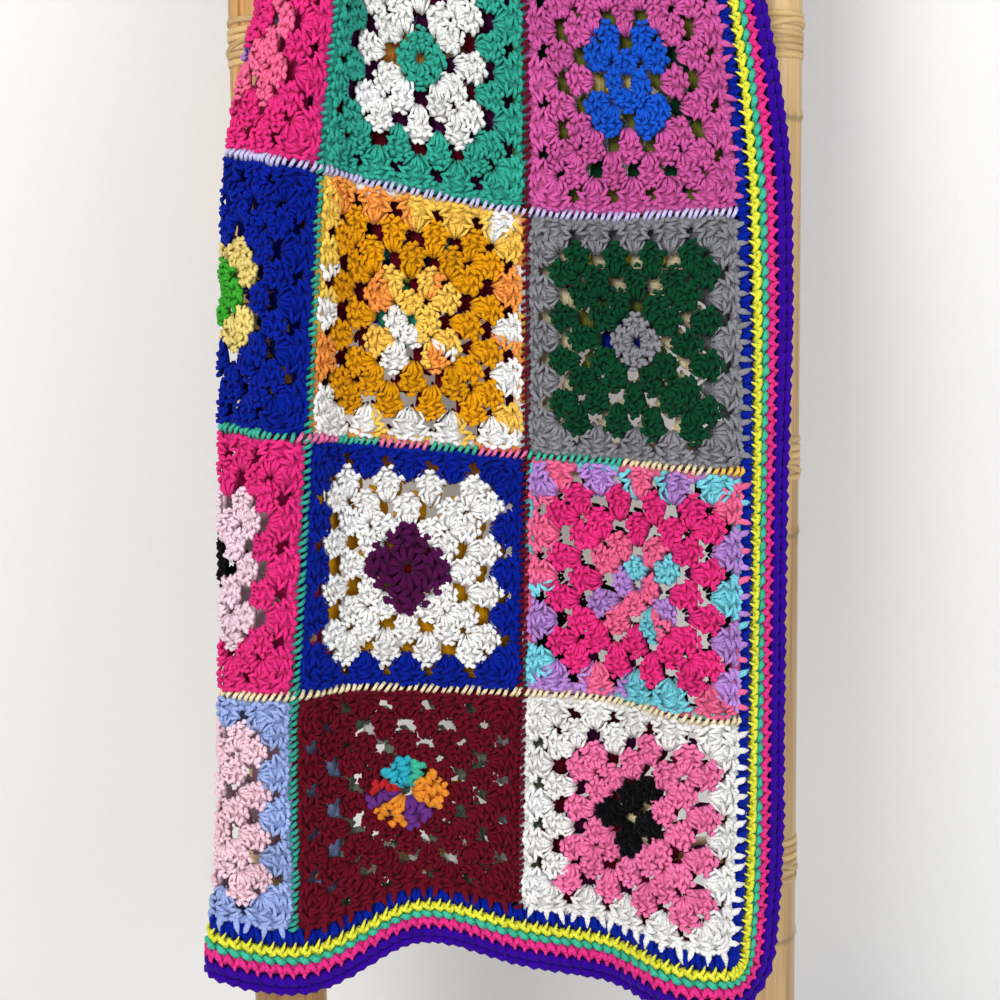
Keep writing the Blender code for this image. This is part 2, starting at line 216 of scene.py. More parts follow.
# Yarns, as sRGB levels
YARNS = {
    "hot_pink": (232, 48, 130),
    "rose": (244, 108, 152),
    "bubblegum": (243, 122, 172),
    "mauve": (206, 90, 160),
    "blush": (248, 218, 230),
    "pale_pink": (247, 208, 220),
    "teal": (52, 168, 146),
    "sky": (120, 208, 222),
    "lilac": (186, 138, 212),
    "mist": (204, 200, 240),
    "white": (244, 243, 240),
    "cream": (243, 226, 184),
    "blue": (20, 88, 205),
    "royal": (0, 30, 150),
    "green": (60, 168, 44),
    "lemon": (238, 216, 130),
    "mustard": (224, 156, 10),
    "orange": (248, 158, 72),
    "apricot": (254, 204, 88),
    "grey": (136, 136, 142),
    "forest": (6, 66, 38),
    "black": (5, 5, 8),
    "periwinkle": (160, 180, 232),
    "plum": (76, 12, 66),
    "burgundy": (104, 8, 30),
    "aqua": (50, 182, 204),
    "amber": (226, 140, 44),
    "purple": (104, 48, 130),
    "red": (184, 36, 40),
    "sage": (136, 150, 130),
    "olive": (120, 124, 50),
    "edge_yellow": (236, 236, 70),
    "edge_mint": (66, 190, 158),
    "edge_pink": (232, 52, 138),
    "edge_purple": (52, 0, 150),
}

# Yarns that change colour along their length
MIXED = {
    "candy": ("rose", "sky", "rose", "lilac", "rose", "rose", "sky", "lilac"),
    "sunset": ("orange", "apricot", "white", "apricot", "orange", "apricot", "white"),
    "confetti": ("cream", "sky", "bubblegum", "apricot", "edge_mint"),
}

# One more mixed yarn: its twelve stitches round the middle
STAR = (
    "aqua", "aqua", "edge_mint", "amber", "amber", "amber",
    "purple", "purple", "amber", "amber", "purple", "red",
)

# Yarn of each round, from the middle out; rows from the front hem up, squares from the inner edge across
SQUARES = (
    (
        "cream burgundy burgundy plum burgundy",
        "amber sage sage white sage",
        "pale_pink pale_pink pale_pink pale_pink periwinkle",
        "star burgundy burgundy burgundy burgundy",
        "black bubblegum bubblegum bubblegum white",
    ),
    (
        "lilac black black plum black",
        "red mustard mustard mustard mustard",
        "black blush blush hot_pink hot_pink",
        "plum white white white royal",
        "candy candy hot_pink hot_pink candy",
    ),
    (
        "royal olive cream cream grey",
        "teal burgundy burgundy burgundy burgundy",
        "green lemon royal royal royal",
        "sunset sunset mustard mustard sunset",
        "grey forest forest forest grey",
    ),
    (
        "lemon olive olive forest olive",
        "orange plum plum burgundy plum",
        "hot_pink candy candy hot_pink hot_pink",
        "teal white white teal teal",
        "blue blue mauve mauve mauve",
    ),
    (
        "white sky sky blue blue",
        "hot_pink cream cream forest forest",
        "mustard white white plum plum",
        "bubblegum periwinkle periwinkle periwinkle grey",
        "burgundy lemon lemon orange orange",
    ),
    (
        "red white white red burgundy",
        "lilac lilac purple purple white",
        "teal cream cream teal teal",
        "royal sky sky sky white",
        "lemon hot_pink hot_pink black black",
    ),
    (
        "sunset sunset royal royal royal",
        "black rose rose rose hot_pink",
        "white forest forest forest lemon",
        "candy candy white white candy",
        "mauve teal teal plum plum",
    ),
    (
        "periwinkle white white grey grey",
        "star black black black aqua",
        "orange apricot apricot mustard mustard",
        "white burgundy burgundy burgundy rose",
        "green cream cream royal royal",
    ),
)
ROW_JOINS = ("cream", "confetti", "mist", "teal", "rose", "cream", "periwinkle")
COLUMN_JOINS = ("grey", "cream", "teal", "burgundy")

# Whip stitches of the joins: a mixed yarn changes colour after a run of them
JOIN_PITCH = 0.0051
JOIN_RADIUS = 0.00165
JOIN_RUN = 7
JOIN_REACH = 0.0032
JOIN_SLANT = 0.0018
JOIN_OUT = (0.0008, 0.0036, 0.0008)
JOIN_UNEVEN = 0.0004
JOIN_LINE_UNEVEN = 0.0003

# Edging
EDGE_PITCH = 0.0083
CORNER_RUN = 5 * EDGE_PITCH
BAND_RINGS = 420
BAND_THICKNESS = 0.0022
SPIKE_FOOT = 0.0060
SPIKE_REACH = (0.0044, 0.0070)
SPIKE_FAN = 0.0030
SPIKE_OUT = (0.0022, 0.0040, 0.0036)
SPIKE_RADII = (0.0028, 0.0027, 0.0006)
SPIKE_UNEVEN = 0.0006
SPIKE_LEAN = 0.0006
EDGE_UNEVEN = 0.0004
EDGE_STRAND_UNEVEN = 0.0002

# Step of the slopes taken on the drape
PROBE = 0.0004

# Share of a strand's cell that its walls take in the bake's map, and the middle and half width of its caps
WALL_SHARE = 0.8
CAP_MIDDLE = 0.92
CAP_HALF = 0.07

# How dark the bodies are under their strands, the brightest level of a yarn, and its uneven dye
PAD_SHADE = 0.85
BRIGHTEST = 0.95
UNEVEN_DYE = 0.05
STITCH_DYE = 0.04

# Up to here the folded squares have the coarse stitches of the inner layer
INNER_UP_TO = 2.38 * SQUARE

# Floor and wall that the object is shown against
STAGE_REACH = 4.0
STAGE_GAP = 0.0005
WALL_Y = 0.003
WALL_TOP = 1.6

# Camera, and the point on the ladder's plane that it looks at
CAMERA_DISTANCE = 1.3
CAMERA_PITCH = LEAN + math.radians(6.42)
CAMERA_ROLL = math.radians(-0.63)
CAMERA_AIM = (-0.0150, 0.555)
CAMERA_LENS = 62.4


# --- the drape


def wall_offset():
    back = POLE_LENGTH * math.sin(LEAN) + POLE_RADIUS * math.cos(LEAN)
    up = POLE_LENGTH * math.cos(LEAN) - POLE_RADIUS * math.sin(LEAN)
    return back, up


def floor_height():
    return -wall_offset()[1]


def on_ladder(x, height):
    """A point on the plane of the poles' axes."""
    back, up = wall_offset()
    return x, height * math.sin(LEAN) - back, height * math.cos(LEAN) - up


def smooth_step(value):
    value = np.clip(value, 0.0, 1.0)
    return value * value * (3 - 2 * value)


def smooth_between(knots, values, place):
    """Reads values, one row for each knot and one column for each place, along a smooth curve."""
    knots = np.asarray(knots, float)
    slopes = np.gradient(values, knots, axis=0)
    index = np.clip(np.searchsorted(knots, place) - 1, 0, len(knots) - 2)
    start, step = knots[index], knots[index + 1] - knots[index]
    share = np.clip((place - start) / step, 0.0, 1.0)
    past = place - start - share * step
    column = np.arange(len(place))
    low, high = values[index, column], values[index + 1, column]
    low_slope, high_slope = slopes[index, column], slopes[index + 1, column]
    curve = (
        low * (1 + 2 * share) * (1 - share) ** 2
        + high * (3 - 2 * share) * share**2
        + step * low_slope * share * (1 - share) ** 2
        - step * high_slope * (1 - share) * share**2
    )
    return curve + past * np.where(past > 0, high_slope, low_slope)


def read_curve(knots, values, place):
    spread = np.repeat(np.asarray(values, float)[:, None], len(place), axis=1)
    return smooth_between(knots, spread, place)


def fold_line(along):
    """Where the blanket is folded: not quite square to it."""
    return read_curve(np.array(FOLD_ROWS) * SQUARE, np.array(FOLD_SQUARES) * SQUARE, along)


def draped_height(across, along):
    """Height of a point of the cloth: across from the middle seam, along from the front hem."""
    rows = np.arange(ROWS + 1) * SQUARE
    columns = [read_curve(rows, values, along) for values in np.transpose(SEAM_HEIGHTS)]
    return smooth_between(SEAM_PLACES, np.array(columns), across)


def gathered(across, height, fold):
    """X of a point, and how far the gathers at the two sides lift it off the plane."""
    levels = np.transpose(OUTLINE)
    curves = (read_curve(levels[0], level, height) for level in levels[1:])
    fold_x, edge_x, left_scale, right_scale, seam_x = curves
    left = across < 0
    scale = np.where(left, left_scale, right_scale)
    side = np.where(left, -1.0, 1.0)
    start = np.where(left, LEFT_GATHER, RIGHT_GATHER)
    reach = np.where(left, MIDDLE_SEAM - fold, SQUARE + EDGING) - start
    away = np.abs(across)
    room = np.abs(np.where(left, fold_x, edge_x) - seam_x) - scale * start
    ratio = room / (scale * reach)
    phi = np.sqrt(8 * (1 - np.sqrt(np.minimum(ratio, 1.0))))
    angle = 2 * np.pi * np.maximum(away - start, 0.0) / reach
    radius = scale * reach / (2 * np.pi)
    j1 = phi / 2 - phi**3 / 16
    j2 = phi**2 / 8 - phi**4 / 96
    beyond = np.where(away > start, ratio * radius * angle + radius * j2 * np.sin(2 * angle), 0.0)
    x = seam_x + side * (scale * np.minimum(away, start) + beyond)
    return x, radius * 2 * j1 * (1 - np.cos(angle))


def front_waves(across, height):
    """How far the front stands out: past the poles, then in soft waves towards the hem."""
    out = POLE_CLEARANCE * smooth_step((CLEAR_FROM - height) / CLEAR_LENGTH)
    hem = smooth_step((HEM_WAVE_START - height) / HEM_WAVE_RISE)
    lobes = 0.5 + 0.5 * np.cos(2 * np.pi * (across + 0.2) / HEM_WAVE_LENGTH)
    below = smooth_step((CLEAR_FROM - CLEAR_LENGTH - height) / 0.2)
    ripple = 0.5 + 0.5 * np.sin(2 * np.pi * (across / RIPPLE_WIDTH + height / RIPPLE_LENGTH))
    return out + HEM_WAVE * hem * lobes + RIPPLE * 2 * below * ripple


def over_rung(height, reach):
    """Y and Z of a point that is reach off the carrying rung's centre line."""
    _, rung_y, rung_z = on_ladder(0.0, CARRYING_RUNG)
    turn = np.clip((height - CARRYING_RUNG) / BEND_RADIUS, 0.0, BEND_ANGLE)
    run = np.minimum(height - CARRYING_RUNG, 0.0) + np.maximum(height - BEND_END, 0.0)
    out_y, out_z = -np.cos(turn + LEAN), np.sin(turn + LEAN)
    return rung_y + reach * out_y + run * out_z, rung_z + reach * out_z - run * out_y


def drape(wide, along):
    """World points of the cloth's middle surface."""
    fold = fold_line(along)
    from_fold = wide - fold
    away = np.abs(from_fold)
    outer = from_fold > 0
    round_end = FOLD_RADIUS * np.pi / 2
    on_round = away < round_end
    turn = np.minimum(away, round_end) / FOLD_RADIUS
    inner_fit = INNER_LAYER_EASE * (COLUMNS * SQUARE + EDGING - fold) / (EDGING + fold)
    fit = np.where(outer, 1.0, inner_fit)
    inward = np.where(on_round, FOLD_RADIUS * (1 - np.cos(turn)), FOLD_RADIUS + fit * (away - round_end))
    across = fold - MIDDLE_SEAM + inward
    half_gap = LAYER_HALF_GAP + (FOLD_RADIUS - LAYER_HALF_GAP) * np.exp(
        -(((inward - FOLD_RADIUS) / FOLD_EASE) ** 2)
    )
    flat_layer = np.where(outer, 2 * half_gap, 0.0)
    round_layer = FOLD_RADIUS * (1 + np.sign(from_fold) * np.sin(turn))
    layer = np.where(on_round, round_layer, flat_layer)
    height = draped_height(across, along)
    x, lift = gathered(across, height, fold)
    reach = INNER_REACH + layer + lift + front_waves(across, height)
    y, z = over_rung(height, reach)
    return np.stack([x, y, z], axis=-1)


def unit(vectors):
    return vectors / np.maximum(np.linalg.norm(vectors, axis=-1, keepdims=True), 1e-12)


def lay(flat):
    """World points and normals for points (wide, along, out) of the flat blanket."""
    wide, along, out = flat.reshape(-1, 3).T
    across = drape(wide + PROBE, along) - drape(wide - PROBE, along)
    up = drape(wide, along + PROBE) - drape(wide, along - PROBE)
    normals = unit(np.cross(across, up))
    points = drape(wide, along) + out[:, None] * normals
    return points.reshape(flat.shape), normals.reshape(flat.shape)


# --- mesh making


def linear(levels):
    share = np.asarray(levels, float) / 255
    return np.where(share <= 0.04045, share / 12.92, ((share + 0.055) / 1.055) ** 2.4)


def rings_round(centres, normals, radii, sides, flatness=1.0):
    """Rings of points round strands. Centres are strands x rings x 3, and radii one for each ring."""
    ways = unit(np.gradient(centres, axis=1))
    side = unit(np.cross(normals[:, 0], ways[:, 0]))
    angles = 2 * np.pi * (np.arange(sides) + 0.5) / sides
    radii = np.broadcast_to(radii, centres.shape[:2])
    rings = np.empty((*centres.shape[:2], sides, 3))
    for ring in range(centres.shape[1]):
        way = ways[:, ring]
        side = unit(side - np.sum(side * way, axis=-1, keepdims=True) * way)
        up = np.cross(way, side) * flatness
        turned = np.cos(angles)[None, :, None] * side[:, None] + np.sin(angles)[None, :, None] * up[:, None]
        rings[:, ring] = centres[:, ring, None] + radii[:, ring, None, None] * turned
    return rings


class Work:
    """A mesh in the making: closed tubes, each with its colour and its own cell of the bake's map."""

    def __init__(self):
        self.points = []
        self.tints = []
        self.corners = []
        self.sizes = []
        self.twists = []
        self.places = []
        self.cells = []
        self.total = 0
        self.strands = 0

    def add(self, rings, colours):
        """Closed tubes: rings are strands x rings x sides x 3, and colours are one for each strand."""
        count, length, sides = rings.shape[:3]
        index = self.total + np.arange(count * length * sides).reshape(count, length, sides)
        after = np.roll(index, -1, axis=2)
        walls = np.stack([index[:, :-1], after[:, :-1], after[:, 1:], index[:, 1:]], axis=-1)
        steps = np.linalg.norm(np.diff(rings.mean(axis=2), axis=1), axis=-1)
        run = np.concatenate([np.zeros((count, 1)), np.cumsum(steps, axis=1)], axis=1)
        spots = np.arange(length) / (length - 1)
        self._wall_corners(walls, run, spots, sides)
        for caps, high in ((index[:, 0, ::-1], 0.25), (index[:, -1], 0.75)):
            self._cap_corners(caps, high)
        self.points.append(rings.reshape(-1, 3))
        self.tints.append(np.repeat(colours, length * sides, axis=0))
        self.total += count * length * sides
        self.strands += count

    def _wall_corners(self, walls, run, spots, sides):
        count, gaps = walls.shape[:2]
        around = np.arange(sides) / sides
        low_high = np.array([0.0, 1.0, 1.0, 0.0]) / sides
        turns = around[None, None, :, None] + low_high
        turns = np.broadcast_to(turns, walls.shape)
        first, last = run[:, :-1, None, None], run[:, 1:, None, None]
        later = np.array([0.0, 0.0, 1.0, 1.0])
        lengths = np.broadcast_to(first + (last - first) * later, walls.shape)
        begin, end = spots[None, :-1, None, None], spots[None, 1:, None, None]
        shares = np.broadcast_to(begin + (end - begin) * later, walls.shape)
        strands = np.repeat(self.strands + np.arange(count), gaps * sides)
        twists, places = (np.stack([along, turns], axis=-1) for along in (lengths, shares * WALL_SHARE))
        self._faces(walls, 4, twists, places, strands)

    def _cap_corners(self, caps, high):
        count, sides = caps.shape
        angles = 2 * np.pi * np.arange(sides) / sides
        spots = np.stack([CAP_MIDDLE + CAP_HALF * np.cos(angles), high + 0.2 * np.sin(angles)], axis=-1)
        strands = self.strands + np.arange(count)
        self._faces(caps, sides, np.zeros((count * sides, 2)), np.tile(spots, (count, 1)), strands)

    def _faces(self, corners, size, twists, places, strands):
        """Faces of one number of corners: places of these on both maps, and the strand of each face."""
        self.corners.append(corners.reshape(-1))
        self.sizes.append(np.full(len(strands), size))
        self.twists.append(twists.reshape(-1, 2))
        self.places.append(places.reshape(-1, 2))
        self.cells.append(np.repeat(strands, size))

    def finish(self, name, material, slot, *nodes):
        """The piece, riding on the part's one body, in place of the CAD nodes named."""
        corners = np.concatenate(self.corners)
        sizes = np.concatenate(self.sizes)
        mesh = bpy.data.meshes.new(name)
        mesh.vertices.add(self.total)
        mesh.vertices.foreach_set("co", np.concatenate(self.points).ravel())
        mesh.loops.add(len(corners))
        mesh.loops.foreach_set("vertex_index", corners.astype(np.int32))
        mesh.polygons.add(len(sizes))
        starts = np.concatenate([[0], np.cumsum(sizes)[:-1]])
        mesh.polygons.foreach_set("loop_start", starts.astype(np.int32))
        mesh.polygons.foreach_set("use_smooth", np.ones(len(sizes), bool))
        mesh.update(calc_edges=True)
        tint = mesh.color_attributes.new("tint", "FLOAT_COLOR", "POINT")
        tints = np.concatenate(self.tints)
        tint.data.foreach_set("color", np.column_stack([tints, np.ones(len(tints))]).ravel())
        self._add_maps(mesh)
        mesh.materials.append(material)
        piece = bpy.data.objects.new(name, mesh)
        bpy.context.scene.collection.objects.link(piece)
        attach(piece, "root")
        if nodes:
            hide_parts(*nodes)
        print(name, "triangles", int((sizes - 2).sum()))
        return piece

    def _add_maps(self, mesh):
        """Map "twist" has the way along a strand and round it; "OFBake" gives each strand a cell."""
        cells = np.concatenate(self.cells)
        across = math.ceil(math.sqrt(self.strands))
        corner = np.stack([cells % across, cells // across], axis=-1)
        spots = (corner + 0.05 + 0.9 * np.concatenate(self.places)) / across
        for map_name, places in (("twist", np.concatenate(self.twists)), ("OFBake", spots)):
            layer = mesh.uv_layers.new(name=map_name)
            layer.data.foreach_set("uv", places.ravel())


# --- crochet


def add_strands(work, flat, radii, sides, colours, flatness=1.0):
    """Strands along rows of points of the flat blanket, laid on the drape."""
    centres, normals = lay(flat)
    work.add(rings_round(centres, normals, radii, sides, flatness), colours)


def turned_by(vectors, angles):
    """2-D vectors turned by angles, one for each."""
    cos, sin = np.cos(angles), np.sin(angles)
    x, y = vectors[..., 0], vectors[..., 1]
    return np.stack([x * cos - y * sin, x * sin + y * cos], axis=-1)


def round_radius(number):
    return FIRST_ROUND + ROUND_STEP * (number - 1)


def one_square():
    """The clusters of a square about its middle: base, top, way out, half spread, round and place."""
    rows = []
    for number in range(1, ROUNDS + 1):
        for side in range(4):
            for place in range(number):
                step = place - (number - 1) / 2
                lateral = step * (LAST_PITCH if number == ROUNDS else CLUSTER_PITCH)
                base_lateral = step * CLUSTER_PITCH
                base_out = round_radius(number - 1) - BASE_OVERLAP if number > 1 else FIRST_BASE
                if number > 1 and place in (0, number - 1):
                    base_lateral = math.copysign(round_radius(number - 1) - CORNER_INSET, lateral)
                    base_out = round_radius(number - 1) - CORNER_INSET + CORNER_RISE
                    lateral += math.copysign(CORNER_SHIFT, lateral)
                out = round_radius(number) - (0.0 if number > 1 else FIRST_SHORTER)
                spread = LAST_SPREAD if number == ROUNDS else STITCH_SPREAD
                rows.append((base_lateral, base_out, lateral, out, side, spread, number, place))
    base_lateral, base_out, lateral, out, side, spread, number, place = np.array(rows).T
    turn = -np.pi / 2 * side
    base = turned_by(np.stack([base_lateral, base_out], axis=-1), turn)
    top = turned_by(np.stack([lateral, out], axis=-1), turn)
    way = turned_by(np.tile((0.0, 1.0), (len(side), 1)), turn)
    return base, top, way, spread, number.astype(int), list(zip(number, side, place))


def yarn_colours(names, stitches):
    """A colour for each of the stitches of each named yarn: a mixed yarn changes as it goes."""
    colours = np.empty((len(names), stitches, 3))
    stars = 0
    for index, name in enumerate(names):
        shades = [name] * stitches
        if name == "star":
            shades = [STAR[(stitches * stars + stitch) % len(STAR)] for stitch in range(stitches)]
            stars += 1
        elif name in MIXED:
            blend = MIXED[name]
            start = CHANCE.integers(len(blend))
            change = CHANCE.integers(1, 2 * stitches + 1)
            shades = [blend[(start + (stitch >= change)) % len(blend)] for stitch in range(stitches)]
        colours[index] = [linear(YARNS[shade]) for shade in shades]
    return dyed(colours, UNEVEN_DYE)


def dyed(colours, uneven):
    """The colours with a slightly uneven dye, one draw for each strand or cluster."""
    shade = 1 + uneven * CHANCE.standard_normal((len(colours), *[1] * (np.ndim(colours) - 1)))
    return np.clip(colours * shade, 0.0, BRIGHTEST)


def square_middle(column, row):
    return np.array([(column + 0.5) * SQUARE, (row + 0.5) * SQUARE])


def square_clusters(column, row, base, top, way, spread, number):
    """The clusters of one square on the flat: its inner rounds turned a little, and all of them uneven."""
    larger, wider = STRETCHED_FIRST.get((row, column), (1.0, 1.0))
    stretch = np.where(number == 1, larger, 1.0)
    pushed = np.where(number == 2, 1 + 0.5 * (larger - 1), 1.0)
    twist = CHANCE.uniform(-MOST_TWIST, MOST_TWIST)
    top_twist = twist * np.clip(1 - (number - 1) / TWISTED_ROUNDS, 0.0, 1.0)
    base_twist = twist * np.clip(1 - (number - 2) / TWISTED_ROUNDS, 0.0, 1.0)
    shift = CHANCE.normal(0.0, CLUSTER_UNEVEN, (2, len(number), 2))
    shift[0] *= BASE_STEADY
    shift[1, number == ROUNDS] *= LAST_STEADY
    middle = square_middle(column, row)
    return {
        "column": np.full(len(number), column),
        "row": np.full(len(number), row),
        "number": number,
        "base": middle + pushed[:, None] * turned_by(base, base_twist) + shift[0],
        "top": middle + stretch[:, None] * turned_by(top, top_twist) + shift[1],
        "way": turned_by(way, top_twist),
        "spread": spread * np.where(number == 1, wider, 1.0),
        "size": stretch,
    }


def square_yarns(column, row, places):
    """The yarn of each cluster of a square."""
    yarns = SQUARES[row][column].split()
    strays = {
        (number, side, place): yarn
        for stray_row, stray_column, number, side, stray_places, yarn in STRAYS
        if (stray_row, stray_column) == (row, column)
        for place in stray_places
    }
    return [strays.get(spot, yarns[int(spot[0]) - 1]) for spot in places]


def all_clusters():
    """Every cluster of the blanket: its square, where it is on the flat, and its three stitches' colours."""
    *square, places = one_square()
    blocks, names = [], []
    for column in range(COLUMNS):
        for row in range(ROWS):
            blocks.append(square_clusters(column, row, *square))
            names += square_yarns(column, row, places)
    clusters = {key: np.concatenate([block[key] for block in blocks]) for key in blocks[0]}
    clusters["colours"] = yarn_colours(names, 3)
    return clusters


def part_of(block, chosen):
    return {key: value[chosen] for key, value in block.items()}


def squares_of(clusters, columns, rows):
    return part_of(clusters, np.isin(clusters["column"], columns) & np.isin(clusters["row"], rows))


def last_round_places():
    """Where the clusters of the last round stand along one side, from its middle."""
    return (np.arange(ROUNDS) - (ROUNDS - 1) / 2) * LAST_PITCH


def to_right(ways):
    return np.stack([ways[:, 1], -ways[:, 0]], axis=-1)


def opened(share):
    """How far a fan of stitches has opened at a share of its height."""
    return 1 - (1 - np.clip(share, 0.0, 1.0)) ** FAN_POWER


def add_pads(work, block, sides):
    """The body of each cluster: a flat, closed fan."""
    shares, thick = np.transpose(PAD_SECTIONS)
    base, top = block["base"][:, None], block["top"][:, None]
    middle = base + (top - base) * shares[None, :, None]
    half = PAD_FOOT + (block["spread"][:, None] + PAD_MARGIN * block["size"][:, None]) * opened(shares)
    half[:, -1] *= PAD_TOP
    across = to_right(block["way"])
    angles = 2 * np.pi * (np.arange(sides) + 0.5) / sides
    wide = half[:, :, None] * np.cos(angles)
    flat = middle[:, :, None] + wide[..., None] * across[:, None, None]
    out = np.broadcast_to(thick[:, None] * np.sin(angles), wide.shape)
    rings, _ = lay(np.concatenate([flat, out[..., None]], axis=-1))
    work.add(rings[:, :, ::-1], block["colours"][:, 1] * PAD_SHADE)


def add_rims(work):
    """The closed edge of each square: one short band for each cluster of its last round."""
    names, centres = [], []
    run = last_round_places()[:, None] + np.array([-0.5, 0.0, 0.5]) * (LAST_PITCH + RIM_OVERLAP)
    edge = np.stack([run, np.full(run.shape, SQUARE / 2 - RIM_INSET)], axis=-1)
    for column in range(COLUMNS):
        for row in range(ROWS):
            for side in range(4):
                centres.append(square_middle(column, row) + turned_by(edge, -np.pi / 2 * side))
                names += [SQUARES[row][column].split()[-1]] * ROUNDS
    flat = np.pad(np.concatenate(centres), ((0, 0), (0, 0), (0, 1)))
    colours = yarn_colours(names, 1)[:, 0] * PAD_SHADE
    add_strands(work, flat, RIM_HALF_WIDTH, 6, colours, BAND_THICKNESS / RIM_HALF_WIDTH)


# Strands of one stitch: rows of (across, share of the height, out), radius, and sides of the section
STRANDS_FULL = (
    (((-0.0002, 0.02, -0.0012), (-0.0014, 0.24, 0.0026), (-0.0016, 0.48, 0.0026)), 0.00150, 4),
    (((0.0004, 0.02, -0.0012), (0.0014, 0.24, 0.0026), (0.0018, 0.48, 0.0026)), 0.00150, 4),
    (((-0.0028, 0.40, 0.0022), (0.0000, 0.48, 0.0042), (0.0030, 0.60, 0.0024)), 0.00180, 4),
    (((0.0034, 0.60, 0.0024), (0.0004, 0.66, 0.0044), (-0.0028, 0.74, 0.0026)), 0.00185, 4),
    (((-0.0034, 0.74, 0.0024), (-0.0006, 0.81, 0.0044), (0.0026, 0.86, 0.0026)), 0.00185, 4),
    (((-0.0042, 0.93, 0.0014), (-0.0022, 0.95, 0.0038), (0.0002, 0.89, 0.0030)), 0.00195, 5),
    (((0.0002, 0.91, 0.0030), (0.0020, 0.97, 0.0036), (0.0042, 0.94, 0.0012)), 0.00195, 5),
)
STRANDS_BACK = (
    (((-0.0002, 0.02, -0.0012), (-0.0020, 0.34, 0.0026), (-0.0010, 0.60, 0.0022)), 0.00165, 4),
    (((0.0004, 0.02, -0.0012), (0.0020, 0.34, 0.0026), (0.0012, 0.60, 0.0022)), 0.00165, 4),
    (((-0.0034, 0.56, 0.0022), (0.0000, 0.65, 0.0044), (0.0034, 0.76, 0.0022)), 0.00195, 4),
    (((-0.0042, 0.92, 0.0014), (-0.0020, 0.93, 0.0036), (0.0004, 0.84, 0.0026)), 0.00200, 4),
    (((0.0002, 0.88, 0.0026), (0.0022, 0.95, 0.0038), (0.0042, 0.93, 0.0012)), 0.00200, 4),
)
STRANDS_INNER = (
    (((0.0000, 0.00, -0.0008), (0.0004, 0.45, 0.0022), (0.0000, 0.92, 0.0014)), 0.00230, 4),
    (((-0.0040, 0.80, 0.0012), (0.0000, 0.94, 0.0030), (0.0038, 0.97, 0.0012)), 0.00210, 4),
)


def add_stitches(work, block, strands):
    """Three stitches to a cluster, spread like a fan, each of the strands given."""
    count = len(block["number"])
    across = to_right(block["way"])
    inside = block["number"] < ROUNDS
    lift = np.where(inside, CROWN, LAST_CROWN)[:, None]
    broad = (block["size"] * np.where(inside, 1.0, LAST_BREADTH))[:, None]
    for stitch in (-1, 0, 1):
        local = to_right(turned_by(block["way"], np.full(count, -STITCH_LEAN * stitch)))
        crown = lift * (1 - CROWN_DROP * abs(stitch)) * block["way"]
        for points, radius, sides in strands:
            wobble = CHANCE.normal(0.0, STRAND_UNEVEN, (count, len(points), 3))
            wobble += CHANCE.normal(0.0, STITCH_UNEVEN, (count, 1, 3)) * (1.0, 1.0, 0.4)
            flat = np.empty((count, len(points), 3))
            for ring, (shift, full_share, out) in enumerate(points):
                share = full_share * (1 - SIDE_SHORTER * abs(stitch))
                fan = stitch * (BASE_SPREAD + (block["spread"] - BASE_SPREAD) * opened(share))
                place = block["base"] + (block["top"] - block["base"]) * share + crown * share
                flat[:, ring, :2] = place + fan[:, None] * across + shift * broad * local
                flat[:, ring, 2] = out
            radii = radius * block["size"][:, None] * np.array((END_TAPER, 1.0, END_TAPER))
            add_strands(work, flat + wobble, radii, sides, dyed(block["colours"][:, stitch + 1], STITCH_DYE))


# --- joins and edging


def add_joins(work):
    """Whip stitches over every join between squares."""
    for vertical, names in ((True, COLUMN_JOINS), (False, ROW_JOINS)):
        length = (ROWS if vertical else COLUMNS) * SQUARE
        for index, name in enumerate(names):
            count = int(length / JOIN_PITCH)
            place = (np.arange(count) + 0.5) / count * length + CHANCE.normal(0.0, JOIN_UNEVEN, count)
            line = np.full(count, (index + 1) * SQUARE) + CHANCE.normal(0.0, JOIN_LINE_UNEVEN, count)
            slant = JOIN_SLANT + CHANCE.normal(0.0, JOIN_UNEVEN, count)
            points = []
            for share, out in zip((-1, 0, 1), JOIN_OUT):
                run, over = place + slant * share, line + JOIN_REACH * share
                pair = (over, run) if vertical else (run, over)
                points.append(np.stack([*pair, np.full(count, out)], axis=-1))
            runs = yarn_colours([name] * math.ceil(count / JOIN_RUN), 1)[:, 0]
            colours = np.repeat(runs, JOIN_RUN, axis=0)[:count]
            add_strands(work, np.stack(points, axis=1), JOIN_RADIUS, 4, colours)


def round_edge(run, off):
    """Flat place of a point that is off the squares' outer edge, run along it from the first corner."""
    width, height = COLUMNS * SQUARE, ROWS * SQUARE
    turn = CORNER_RUN
    run = np.mod(run, 2 * (width + height) + 4 * turn)
    ends = np.cumsum([width, turn, height, turn, width, turn, height])
    leg = np.searchsorted(ends, run, side="right")
    start = np.concatenate([[0.0], ends])[leg]
    part = run - start
    bend = np.clip(part / turn, 0.0, 1.0)
    zero = np.zeros_like(run)
    anchors = (
        (part, zero), (zero + width, zero), (zero + width, part), (zero + width, zero + height),
        (width - part, zero + height), (zero, zero + height), (zero, height - part), (zero, zero),
    )
    quarter = 90 * bend
    angles = (zero - 90, quarter - 90, zero, quarter, zero + 90, quarter + 90, zero + 180, quarter + 180)
    wide = np.choose(leg, [anchor[0] for anchor in anchors])
    along = np.choose(leg, [anchor[1] for anchor in anchors])
    angle = np.radians(np.choose(leg, angles))
    return wide + off * np.cos(angle), along + off * np.sin(angle)


